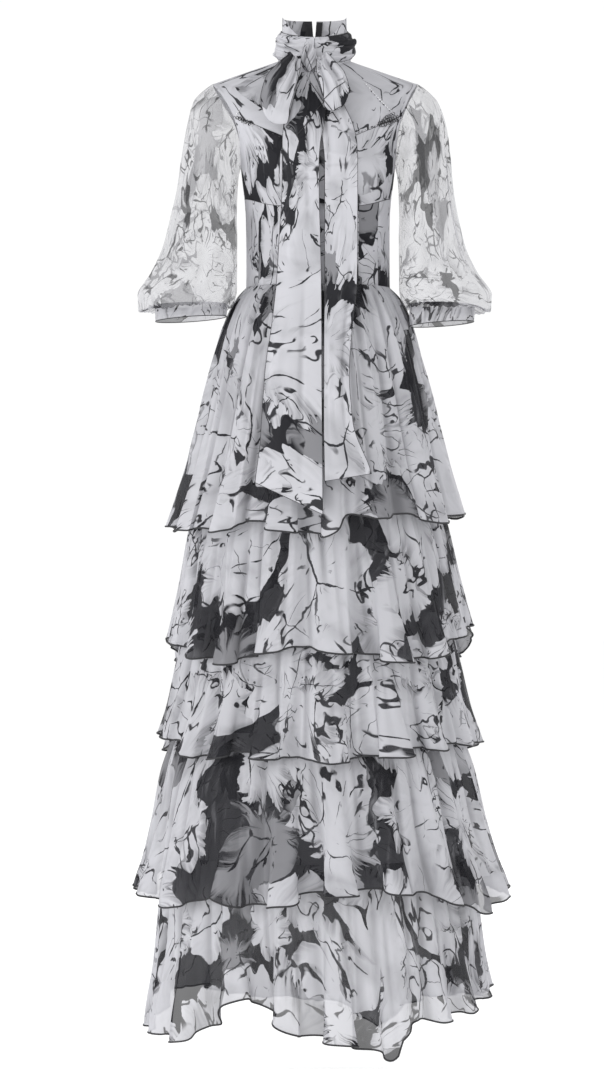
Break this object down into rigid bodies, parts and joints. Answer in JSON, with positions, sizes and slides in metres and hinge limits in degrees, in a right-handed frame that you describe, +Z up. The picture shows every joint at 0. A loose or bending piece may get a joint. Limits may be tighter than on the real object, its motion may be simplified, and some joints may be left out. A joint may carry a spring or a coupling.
{
  "type": "tiered maxi dress",
  "caption": "Full-length gown with sheer full sleeves, stand collar with a bow, V yoke and tiered flounces, filled out as if worn.",
  "frame": {"origin": "on the centre line, at the height where the shoulder seams meet the neck", "axes": "+Z up along the wearer, front faces -Y, +X to the right of someone who looks at the front"},
  "size_m": [0.6437, 0.5467, 1.7119],
  "materials": {
    "printed_chiffon": "sheer printed silk chiffon, pale grey on charcoal",
    "flounce_chiffon": "sheer printed silk chiffon with black rolled hems",
    "sheer_chiffon": "one layer of sheer printed silk chiffon",
    "base_chiffon": "dark sheer chiffon, unprinted",
    "zip_tape_cloth": "black woven tape",
    "zip_metal": "black painted zip slider and tab"
  },
  "bodies": {
    "dress": {"yoke_front": "printed_chiffon", "midriff_centre": "printed_chiffon", "collar": "printed_chiffon", "tie_knot": "printed_chiffon", "cup_left": "printed_chiffon", "cup_right": "printed_chiffon", "midriff_front_left": "printed_chiffon", "midriff_front_right": "printed_chiffon", "midriff_side_left": "printed_chiffon", "midriff_side_right": "printed_chiffon", "back_left": "printed_chiffon", "back_right": "printed_chiffon", "tie_band_left": "printed_chiffon", "tie_band_right": "printed_chiffon", "tie_loop_left": "printed_chiffon", "tie_loop_right": "printed_chiffon", "tie_tail_left": "printed_chiffon", "tie_tail_right": "printed_chiffon", "cuff_left": "printed_chiffon", "cuff_right": "printed_chiffon", "tier_1_front": "flounce_chiffon", "tier_1_back_left": "flounce_chiffon", "tier_1_back_right": "flounce_chiffon", "tier_2_front": "flounce_chiffon", "tier_2_back": "flounce_chiffon", "tier_3_front": "flounce_chiffon", "tier_3_back": "flounce_chiffon", "tier_4_front": "flounce_chiffon", "tier_4_back": "flounce_chiffon", "tier_5_front": "flounce_chiffon", "tier_5_back": "flounce_chiffon", "sleeve_left": "sheer_chiffon", "sleeve_right": "sheer_chiffon", "base_skirt_front": "base_chiffon", "base_skirt_back_left": "base_chiffon", "base_skirt_back_right": "base_chiffon", "zip_tape_left": "zip_tape_cloth", "zip_tape_right": "zip_tape_cloth", "zip_slider": "zip_metal"},
    "zip_tab": {"zip_pull": "zip_metal"}
  },
  "joints": [
    {"name": "zip_tab_swing", "type": "hinge", "parent": "dress", "child": "zip_tab", "pos_m": [-0.006, 0.05776, 0.0435], "axis": [1, 0, 0], "range_deg": [0, 150]}
  ]
}
